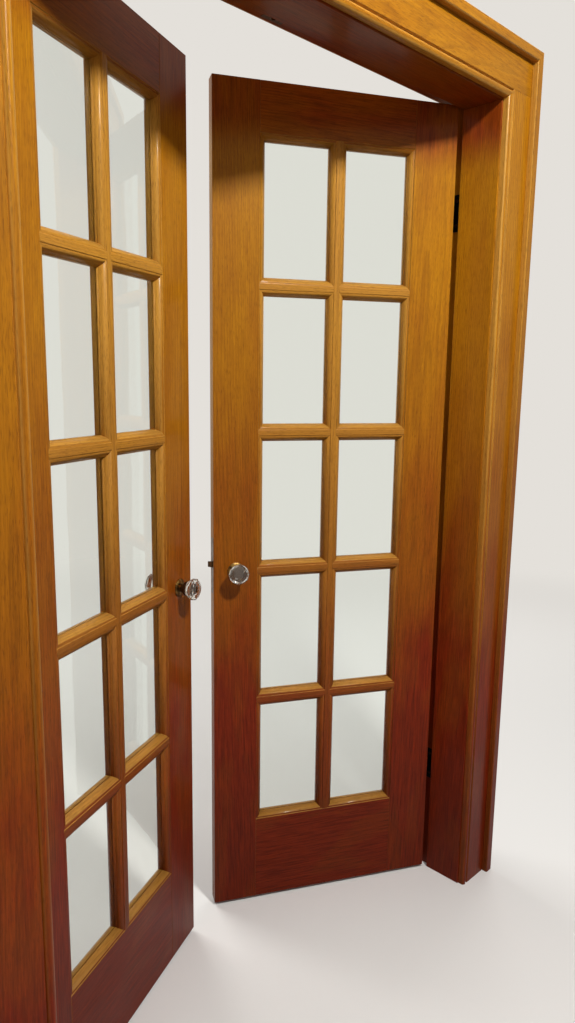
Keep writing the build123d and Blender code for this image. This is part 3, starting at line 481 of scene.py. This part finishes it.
def old_metal(name, bright, dull, roughness, metallic, patch):
    """Metal that hands and air have dulled: bright where rubbed, dark and rougher elsewhere."""
    material, tree = new_material(name)
    place = add(tree, "TexCoord", {}, {})
    patches = add(tree, "TexNoise", {}, {
        "Vector": place.outputs["Object"], "Scale": cells(patch), "Detail": 4.0})
    worn = add(tree, "MapRange", {}, {
        "Value": patches.outputs["Fac"], "From Min": 0.35, "From Max": 0.65,
        "To Min": 0.0, "To Max": 1.0})
    colour = add(tree, "Mix", {"data_type": "RGBA"}, {
        SHARE: worn.outputs[0], FIRST: bright, SECOND: dull})
    rough = add(tree, "MapRange", {}, {
        "Value": patches.outputs["Fac"], "From Min": 0.3, "From Max": 0.7,
        "To Min": roughness * 0.8, "To Max": roughness * 1.3})
    # fine scratches, a third of a millimetre apart
    scratch = add(tree, "TexNoise", {}, {
        "Vector": place.outputs["Object"], "Scale": cells(0.3333 * MM), "Detail": 2.0})
    relief = add(tree, "Bump", {}, {
        "Height": scratch.outputs["Fac"], "Strength": 0.12, "Distance": 0.05 * MM})
    metal = add(tree, "BsdfPrincipled", {}, {
        "Base Color": colour.outputs[MIXED],
        "Roughness": rough.outputs[0],
        "Metallic": metallic,
        "Normal": relief.outputs[0],
    })
    show(tree, metal)
    return material


# Settings


class FrenchDoorFinish(bpy.types.PropertyGroup):
    """Colours and sizes of the finishes."""

    oak_light: FloatVectorProperty(
        name="Oak, light", description="Streaks between the rings", subtype="COLOR", size=4,
        min=0, max=1, default=linear("#C08212"))
    oak_amber: FloatVectorProperty(
        name="Oak, amber", description="Varnished oak overall", subtype="COLOR", size=4,
        min=0, max=1, default=linear("#A86A0C"))
    oak_brown: FloatVectorProperty(
        name="Oak, brown", description="Rings and pores", subtype="COLOR", size=4,
        min=0, max=1, default=linear("#4E2208"))
    # painted shade and red patches: this red is the varnish's red patches and also the painted shade
    # near the floor and under the head
    oak_red: FloatVectorProperty(
        name="Oak, red", description="Varnish that has kept its red", subtype="COLOR", size=4,
        min=0, max=1, default=linear("#7E260A"))
    # partly wear, partly painted light: the colour and share of thin varnish on mouldings also stand
    # for the light falling on mouldings, ledges and bars
    oak_thin: FloatVectorProperty(
        name="Oak, thin varnish", description="Mouldings and arrises, where the varnish is thin",
        subtype="COLOR", size=4, min=0, max=1, default=linear("#D09A44"))
    wear_and_light_share: FloatProperty(
        name="Thin share", description="How much of the varnish is gone from the mouldings",
        subtype="FACTOR", min=0, max=1, default=0.65)
    # painted shade: these heights and shares paint the light's falloff towards the floor, and the
    # head's shadow on the boards under it, as red in the varnish
    red_shade_share: FloatProperty(
        name="Red share", description="How red the varnish is near the floor", subtype="FACTOR",
        min=0, max=1, default=0.95)
    red_shade_up_to: FloatProperty(
        name="Red up to", description="Height up to which the varnish has kept its red",
        unit="LENGTH", default=0.3)
    red_shade_ends_at: FloatProperty(
        name="Golden from", description="Height from which the varnish is golden",
        unit="LENGTH", default=1.8)
    shade_from: FloatProperty(
        name="Shade from", description="Height from which the head keeps the daylight off",
        unit="LENGTH", default=1.87)
    shade_share: FloatProperty(
        name="Shade share", description="How red the varnish is under the head", subtype="FACTOR",
        min=0, max=1, default=0.7)
    # painted shade: how much darker the wood is made towards the floor, where the light falls off
    painted_floor_shade: FloatProperty(
        name="Grime", description="How much darker the wood is near the floor", subtype="FACTOR",
        min=0, max=1, default=0.25)
    ring_width: FloatProperty(
        name="Ring width", description="Distance between two growth rings", unit="LENGTH",
        min=1 * MM, default=5 * MM)
    pith_depth: FloatProperty(
        name="Pith depth", description="How far the tree's middle lies from a board",
        unit="LENGTH", min=0, default=130 * MM)
    varnish: FloatProperty(
        name="Varnish", description="Weight of the gloss coat", subtype="FACTOR",
        min=0, max=1, default=0.12)
    brass: FloatVectorProperty(
        name="Brass", description="Rubbed brass", subtype="COLOR", size=4,
        min=0, max=1, default=linear("#A98445"))
    dark_brass: FloatVectorProperty(
        name="Dark brass", description="Brass that has gone dark", subtype="COLOR", size=4,
        min=0, max=1, default=linear("#4A3320"))
    black: FloatVectorProperty(
        name="Black", description="Blacked steel of the hinges", subtype="COLOR", size=4,
        min=0, max=1, default=linear("#1E1B1A"))


class FrenchDoorSizes(bpy.types.PropertyGroup):
    """Sizes of what is modelled here."""

    wood_ease: FloatProperty(
        name="Arris", description="Rounding of the boards' arrises", unit="LENGTH",
        min=0, default=0.9 * MM)
    knob_sides: IntProperty(name="Knob sides", description="Facets round a knob", min=6, default=12)
    knob_radius: FloatProperty(
        name="Knob radius", description="To the facets' corners", unit="LENGTH", default=25 * MM)
    knob_face: FloatProperty(
        name="Knob face", description="Radius of the flat front", unit="LENGTH", default=7 * MM)
    knob_star: FloatProperty(
        name="Knob star", description="Radius of the shallow facets round the flat front",
        unit="LENGTH", default=14 * MM)
    knob_crown: FloatProperty(
        name="Knob crown", description="Radius of the steep facets of the front", unit="LENGTH",
        default=20.5 * MM)
    knob_shoulder: FloatProperty(
        name="Knob shoulder", description="Radius of the back, in front of the cup",
        unit="LENGTH", default=18 * MM)
    knob_back: FloatProperty(
        name="Knob back", description="Radius where the glass leaves its cup", unit="LENGTH",
        default=14.5 * MM)
    knob_neck: FloatProperty(
        name="Knob neck", description="Radius of the glass inside its cup", unit="LENGTH",
        default=11.5 * MM)
    knob_ease: FloatProperty(
        name="Knob arris", description="Rounding of the facets' edges", unit="LENGTH",
        min=0, default=0.5 * MM)
    slot_width: FloatProperty(
        name="Screw slot", description="Width of a screw's slot", unit="LENGTH", default=1.1 * MM)
    slot_depth: FloatProperty(
        name="Slot depth", description="Depth of a screw's slot", unit="LENGTH", default=1.0 * MM)


class FrenchDoorStage(bpy.types.PropertyGroup):
    """The floor, the light and the camera."""

    floor_colour: FloatVectorProperty(
        name="Floor", description="Paint of the floor", subtype="COLOR", size=4,
        min=0, max=1, default=linear("#EFECE7"))
    bounce_colour: FloatVectorProperty(
        name="Bounce", description="Paint of the floor for the light that it throws up at the doors",
        subtype="COLOR", size=4, min=0, max=1, default=linear("#665A4E"))
    backdrop_colour: FloatVectorProperty(
        name="Backdrop", description="Colour behind everything", subtype="COLOR", size=4,
        min=0, max=1, default=linear("#E4E0DA"))
    floor_radius: FloatProperty(
        name="Floor radius", description="Radius of the round floor", unit="LENGTH", default=9.0)
    fade_start: FloatProperty(
        name="Fade start", description="Distance at which the floor begins to fade away",
        unit="LENGTH", default=1.6)
    fade_end: FloatProperty(
        name="Fade end", description="Distance at which the floor is all backdrop", unit="LENGTH",
        default=4.5)
    key_power: FloatProperty(
        name="Key light", description="Power of the lamp under the hall's ceiling", unit="POWER",
        default=57.0)
    fill_power: FloatProperty(
        name="Fill light", description="Power of the wide lamps behind and beside the doors",
        unit="POWER", default=55.0)
    surround: FloatProperty(
        name="Surround", description="Strength of the light from all round", min=0, default=0.18)


# Operators


def build_board(node, grain, face_light=0.0, under_head_shadow=True):
    """One board: an eased copy of its CAD solid in its own piece of oak."""
    ease = bpy.context.scene.french_door_sizes.wood_ease
    oak = varnished_oak(f"varnished_oak_{node}", grain, middle(node), face_light, under_head_shadow)
    stands_for(finished(eased(merged_copy(node), ease), f"{node}_oak", [oak]), node)


class FRENCHDOORS_OT_frame(bpy.types.Operator):
    """Make the two side jambs and the head jamb"""

    bl_idname = "frenchdoors.frame"
    bl_label = "Jambs"

    def execute(self, context):
        for side in SIDES:
            build_board(f"{side}_jamb", (UPRIGHT, 0.0), face_light=None)
        build_board("head_jamb", (ACROSS, 0.0), face_light=None)
        return {"FINISHED"}


class FRENCHDOORS_OT_casings(bpy.types.Operator):
    """Make the casing boards and back bands of both wall faces"""

    bl_idname = "frenchdoors.casings"
    bl_label = "Casings"

    def execute(self, context):
        for facing in ("hall", "room"):
            for member in ("casing", "backband"):
                for side in SIDES:
                    build_board(f"{facing}_{member}_{side}", (UPRIGHT, 0.0), under_head_shadow=False)
                build_board(f"{facing}_{member}_head", (ACROSS, 0.0), under_head_shadow=False)
        return {"FINISHED"}


class FRENCHDOORS_OT_leaves(bpy.types.Operator):
    """Make the stiles, rails, glazing bars and beads of both leaves"""

    bl_idname = "frenchdoors.leaves"
    bl_label = "Leaves"

    def execute(self, context):
        for side in SIDES:
            turn = leaf_turn(side)
            for member in ("hinge_stile", "lock_stile"):
                build_board(f"{side}_{member}", (UPRIGHT, turn))
            for member in ("top_rail", "bottom_rail"):
                build_board(f"{side}_{member}", (ACROSS, turn))
            # painted light: the bars are lighter over their faces too, as they catch the light from
            # above
            build_board(f"{side}_upright_bar", (UPRIGHT, turn), face_light=BAR_FACE_LIGHT)
            build_board(f"{side}_cross_bars", (ACROSS, turn), face_light=BAR_FACE_LIGHT)
            self.beads(f"{side}_glazing_beads", turn)
        return {"FINISHED"}

    def beads(self, node, turn):
        """The glazing beads, each with its grain along its length."""
        shape = merged_copy(node)
        for bead in loose_parts(shape):
            heights = [vert.co.z for face in bead for vert in face.verts]
            if max(heights) - min(heights) < BEAD_WIDTH:
                for face in bead:
                    face.material_index = 1
        # painted light: the beads are lighter over their faces too, as they catch the light from
        # above
        oak = [varnished_oak(f"varnished_oak_{node}_{way}", (tilt, turn), middle(node),
                             face_light=BAR_FACE_LIGHT, under_head_shadow=True)
               for way, tilt in (("upright", UPRIGHT), ("across", ACROSS))]
        stands_for(finished(shape, f"{node}_oak", oak), node)


class FRENCHDOORS_OT_panes(bpy.types.Operator):
    """Glaze the panes"""

    bl_idname = "frenchdoors.panes"
    bl_label = "Panes"

    def execute(self, context):
        glass = window_glass()
        for side in SIDES:
            dress(f"{side}_panes", glass)
        return {"FINISHED"}


class FRENCHDOORS_OT_knobs(bpy.types.Operator):
    """Make the faceted glass knobs"""

    bl_idname = "frenchdoors.knobs"
    bl_label = "Glass knobs"

    def execute(self, context):
        glass = knob_glass()
        for side in SIDES:
            for facing in ("hall", "room"):
                node = f"{side}_{facing}_knob"
                knob = self.knob(knob_place(side, facing))
                stands_for(finished(knob, f"{node}_glass", [glass], weighted=False), node)
        return {"FINISHED"}

    def knob(self, place):
        """A cut knob from its neck to its face: each ring is pulled out of the last one."""
        sizes = bpy.context.scene.french_door_sizes
        half_side = pi / sizes.knob_sides
        # heights above the leaf's face
        neck, back, shoulder = 18 * MM, 22 * MM, 24 * MM
        belt_start, belt_end = 35.2 * MM, 40.2 * MM
        crown, star, face = 45 * MM, 48.1 * MM, 48.8 * MM
        # height, radius and turn of each ring
        rings = (
            (neck, sizes.knob_neck, 0),
            (back, sizes.knob_back, 0),
            (shoulder, sizes.knob_shoulder, 0),
            (belt_start, sizes.knob_radius, 0),
            (belt_end, sizes.knob_radius, 0),
            (crown, sizes.knob_crown, half_side),
            (star, sizes.knob_star, 0),
            (face, sizes.knob_face, half_side),
        )
        shape = bmesh.new()
        bmesh.ops.create_circle(shape, cap_ends=False, segments=sizes.knob_sides,
                                radius=sizes.knob_neck)
        bmesh.ops.translate(shape, vec=(0, 0, neck), verts=shape.verts)
        border = shape.edges[:]
        for (height, radius, turn), (next_height, next_radius, next_turn) in pairwise(rings):
            made = bmesh.ops.extrude_edge_only(shape, edges=border)["geom"]
            corners = [item for item in made if isinstance(item, bmesh.types.BMVert)]
            border = [item for item in made if isinstance(item, bmesh.types.BMEdge)]
            share = next_radius / radius
            bmesh.ops.scale(shape, vec=(share, share, 1), verts=corners)
            bmesh.ops.translate(shape, vec=(0, 0, next_height - height), verts=corners)
            bmesh.ops.rotate(shape, cent=(0, 0, 0), verts=corners,
                             matrix=Matrix.Rotation(next_turn - turn, 3, "Z"))
        ends = [edge for edge in shape.edges if edge.is_boundary]
        bmesh.ops.holes_fill(shape, edges=ends, sides=0)
        bmesh.ops.recalc_face_normals(shape, faces=shape.faces)
        rims = [edge for edge in shape.edges if edge.calc_face_angle() > CREASE]
        rounded(shape, rims, sizes.knob_ease)
        bmesh.ops.transform(shape, matrix=place, verts=shape.verts)
        return shape


class FRENCHDOORS_OT_metalwork(bpy.types.Operator):
    """Finish the hinges, roses, shanks, latch, strike and flush bolts"""

    bl_idname = "frenchdoors.metalwork"
    bl_label = "Metalwork"

    def execute(self, context):
        finish = context.scene.french_door_finish
        # steel blacked by heat and oil: nearly black, with a soft dull sheen
        blacked = old_metal("blacked_steel", finish.black, toned(finish.black, 0.6),
                            roughness=0.42, metallic=0.85, patch=16.67 * MM)
        # brass that nobody polishes: brown, with a little light on its edges
        dark = old_metal("darkened_brass", toned(finish.dark_brass, 1.5), finish.dark_brass,
                         roughness=0.36, metallic=1.0, patch=11.11 * MM)
        # brass under the hand: gold where it is rubbed, brown round about
        brass = old_metal("rubbed_brass", finish.brass, finish.dark_brass,
                          roughness=0.3, metallic=1.0, patch=14.29 * MM)
        # rolled steel out of sight: plain grey
        steel = old_metal("plain_steel", linear("#8C8A86"), linear("#5E5B57"),
                          roughness=0.35, metallic=1.0, patch=12.5 * MM)
        dress("hinge_pins", blacked)
        for side in SIDES:
            dress(f"{side}_jamb_hinge_leaves", blacked)
            dress(f"{side}_leaf_hinge_leaves", blacked)
            dress(f"{side}_roses", brass)
            dress(f"{side}_knob_shanks", dark)
            dress(f"{side}_knob_spindle", steel)
        for node in ("right_latch_faceplate", "strike_plate", "flush_bolt_plates", "head_strike",
                     "right_latch_bolt", "upper_flush_bolt", "lower_flush_bolt"):
            dress(node, dark)
        dress("right_latch_case", steel)
        dress("right_latch_hub", steel)
        return {"FINISHED"}


class FRENCHDOORS_OT_screws(bpy.types.Operator):
    """Make the countersunk screws, with a slot in each head"""

    bl_idname = "frenchdoors.screws"
    bl_label = "Screws"

    def execute(self, context):
        finish = context.scene.french_door_finish
        # turned brass, lighter than the plates because screwdrivers have scraped it
        metal = old_metal("worn_screw_brass", toned(finish.dark_brass, 2.2), finish.dark_brass,
                          roughness=0.34, metallic=1.0, patch=5 * MM)
        for node in ("left_leaf_screws", "right_leaf_screws", "frame_screws"):
            shape = merged_copy(node)
            chance = Random(node)
            for head in [face for face in shape.faces if face.calc_area() > HEAD_AREA]:
                self.cut_slot(shape, head, chance.uniform(0, pi))
            stands_for(finished(shape, f"{node}_slotted", [metal]), node)
        return {"FINISHED"}

    def cut_slot(self, shape, head, turn):
        """Cut a slot across a head, as deep as wide, its ends inside the head's cone."""
        sizes = bpy.context.scene.french_door_sizes
        centre, out = head.calc_center_median(), head.normal.copy()
        across = Matrix.Rotation(turn, 3, out) @ out.orthogonal().normalized()
        length = 2 * max((vert.co - centre).length for vert in head.verts)
        faces = [head]
        for way in (-1, 1):
            edges = {edge for face in faces for edge in face.edges}
            verts = {vert for face in faces for vert in face.verts}
            cut = bmesh.ops.bisect_plane(
                shape, geom=[*faces, *edges, *verts], dist=MERGE,
                plane_co=centre + across * way * sizes.slot_width / 2, plane_no=across)
            faces = [item for item in cut["geom"] if isinstance(item, bmesh.types.BMFace)]
        strip = min(faces, key=lambda face: (face.calc_center_median() - centre).length)
        floor = bmesh.ops.extrude_face_region(shape, geom=[strip])["geom"]
        bmesh.ops.delete(shape, geom=[strip], context="FACES_ONLY")
        verts = [item for item in floor if isinstance(item, bmesh.types.BMVert)]
        # a frame with its origin at the head's middle, X along the slot and Z out of the head
        along = across.cross(out)
        slot = Matrix((along, across, out)).transposed().to_4x4()
        slot.translation = centre
        shorter = 1 - 2 * SLOT_SHORTER * sizes.slot_depth / length
        bmesh.ops.scale(shape, vec=(shorter, 1, 1), space=slot.inverted(), verts=verts)
        bmesh.ops.translate(shape, vec=-out * sizes.slot_depth, verts=verts)


class FRENCHDOORS_OT_stage(bpy.types.Operator):
    """Lay the floor, set the lamps and place the camera"""

    bl_idname = "frenchdoors.stage"
    bl_label = "Stage"

    def execute(self, context):
        settings = context.scene.french_door_stage
        self.floor(settings)
        self.world(context, settings)
        self.lamp("key", place=(-0.15, -1.4, 2.85), target=(0.0, -0.4, 0.0), width=0.25,
                  power=settings.key_power)
        self.lamp("side", place=(-2.8, -2.6, 1.6), target=(0.0, 0.2, 0.9), width=2.4,
                  power=settings.fill_power * 0.3)
        self.lamp("room", place=(0.2, 3.4, 2.8), target=(0.0, 0.2, 1.0), width=2.4,
                  power=settings.fill_power * 1.5)
        self.lamp("end", place=(3.4, 1.2, 2.0), target=(0.0, 0.2, 1.0), width=2.0,
                  power=settings.fill_power * 0.6)
        self.camera(context)
        context.scene.view_settings.view_transform = "Standard"
        return {"FINISHED"}

    def floor(self, settings):
        """A round pale floor, painted matt, that fades into the backdrop with distance."""
        shape = bmesh.new()
        bmesh.ops.create_circle(shape, cap_ends=True, segments=96, radius=settings.floor_radius)
        material, tree = new_material("matt_floor_paint")
        colour = add(tree, "Mix", {"data_type": "RGBA"}, {
            SHARE: self.seen(tree), FIRST: settings.bounce_colour, SECOND: settings.floor_colour})
        paint = add(tree, "BsdfPrincipled", {}, {
            "Base Color": colour.outputs[MIXED], "Roughness": 0.75})
        place = add(tree, "TexCoord", {}, {})
        distance = add(tree, "VectorMath", {"operation": "LENGTH"}, {0: place.outputs["Object"]})
        far = add(tree, "MapRange", {"interpolation_type": "SMOOTHSTEP"}, {
            "Value": distance.outputs["Value"], "From Min": settings.fade_start,
            "From Max": settings.fade_end, "To Min": 0.0, "To Max": 1.0})
        fade = add(tree, "Math", {"operation": "MULTIPLY"}, {
            0: far.outputs[0], 1: self.seen(tree)})
        backdrop = add(tree, "Emission", {}, {"Color": settings.backdrop_colour, "Strength": 1.0})
        both = add(tree, "MixShader", {}, {
            0: fade.outputs[0], 1: paint.outputs[0], 2: backdrop.outputs[0]})
        show(tree, both)
        floor = finished(shape, "floor", [material], weighted=False)

    def seen(self, tree):
        """1 on rays from the camera, straight, through glass or off gloss and metal."""
        path = add(tree, "LightPath", {}, {})
        through = add(tree, "Math", {"operation": "MAXIMUM"}, {
            0: path.outputs["Is Camera Ray"], 1: path.outputs["Is Transmission Ray"]})
        mirrored = add(tree, "Math", {"operation": "MAXIMUM"}, {
            0: through.outputs[0], 1: path.outputs["Is Glossy Ray"]})
        return mirrored.outputs[0]

    def world(self, context, settings):
        """A pale surround: soft light all round, and the backdrop's colour where it is seen."""
        world = bpy.data.worlds.new("pale_room")
        context.scene.world = world
        world.use_nodes = True
        tree = world.node_tree
        tree.nodes.clear()
        light = add(tree, "Background", {}, {
            "Color": linear("#FFFFFF"), "Strength": settings.surround})
        backdrop = add(tree, "Background", {}, {
            "Color": settings.backdrop_colour, "Strength": 1.0})
        both = add(tree, "MixShader", {}, {
            0: self.seen(tree), 1: light.outputs[0], 2: backdrop.outputs[0]})
        add(tree, "OutputWorld", {}, {"Surface": both.outputs[0]})

    def lamp(self, name, place, target, width, power):
        """A soft box that looks at a point, out of the camera's sight.

        Only the key shows in gloss and through glass: the wide ones would veil the panes.
        """
        data = bpy.data.lights.new(name, "AREA")
        data.size = width
        data.energy = power
        lamp = bpy.data.objects.new(name, data)
        lamp.location = place
        ahead = Vector(target) - Vector(place)
        lamp.rotation_euler = ahead.to_track_quat("-Z", "Y").to_euler()
        lamp.visible_camera = False
        lamp.visible_transmission = lamp.visible_glossy = name == "key"
        bpy.context.scene.collection.objects.link(lamp)

    def camera(self, context):
        """The photographer's place in the hall, a little left of the doorway and looking down."""
        place = (-1.0830, -0.9922, 1.3785)
        yaw, pitch, roll = radians(45.003), radians(9.902), radians(0.764)
        forward = Vector((sin(yaw) * cos(pitch), cos(yaw) * cos(pitch), -sin(pitch)))
        right = Vector((cos(yaw), -sin(yaw), 0))
        up = right.cross(forward)
        x_axis = right * cos(roll) + up * sin(roll)
        y_axis = up * cos(roll) - right * sin(roll)
        data = bpy.data.cameras.new("camera")
        data.sensor_fit = "VERTICAL"
        data.sensor_height = 24.0
        data.lens = 17.623
        camera = bpy.data.objects.new("camera", data)
        turned = Matrix((x_axis, y_axis, -forward)).transposed().to_4x4()
        camera.matrix_world = Matrix.Translation(place) @ turned
        context.scene.collection.objects.link(camera)
        context.scene.camera = camera


OPERATORS = (
    FRENCHDOORS_OT_frame,
    FRENCHDOORS_OT_casings,
    FRENCHDOORS_OT_leaves,
    FRENCHDOORS_OT_panes,
    FRENCHDOORS_OT_knobs,
    FRENCHDOORS_OT_metalwork,
    FRENCHDOORS_OT_screws,
    FRENCHDOORS_OT_stage,
)


class FRENCHDOORS_PT_panel(bpy.types.Panel):
    """List the steps and the settings"""

    bl_label = "French doors"
    bl_space_type = "VIEW_3D"
    bl_region_type = "UI"
    bl_category = "French doors"

    def draw(self, context):
        for operator in OPERATORS:
            self.layout.operator(operator.bl_idname)
        for settings in (context.scene.french_door_finish, context.scene.french_door_sizes,
                         context.scene.french_door_stage):
            box = self.layout.box()
            for name in settings.__annotations__:
                box.prop(settings, name)


GROUPS = {
    "french_door_finish": FrenchDoorFinish,
    "french_door_sizes": FrenchDoorSizes,
    "french_door_stage": FrenchDoorStage,
}


def register():
    for name, group in GROUPS.items():
        bpy.utils.register_class(group)
        setattr(bpy.types.Scene, name, PointerProperty(type=group))
    for operator in OPERATORS:
        bpy.utils.register_class(operator)
    bpy.utils.register_class(FRENCHDOORS_PT_panel)


def unregister():
    bpy.utils.unregister_class(FRENCHDOORS_PT_panel)
    for operator in reversed(OPERATORS):
        bpy.utils.unregister_class(operator)
    for name, group in reversed(GROUPS.items()):
        delattr(bpy.types.Scene, name)
        bpy.utils.unregister_class(group)


def main():
    """Run every step in order."""
    register()
    bpy.ops.frenchdoors.frame()
    bpy.ops.frenchdoors.casings()
    bpy.ops.frenchdoors.leaves()
    bpy.ops.frenchdoors.panes()
    bpy.ops.frenchdoors.knobs()
    bpy.ops.frenchdoors.metalwork()
    bpy.ops.frenchdoors.screws()
    bpy.ops.frenchdoors.stage()


if __name__ == "__main__":
    main()
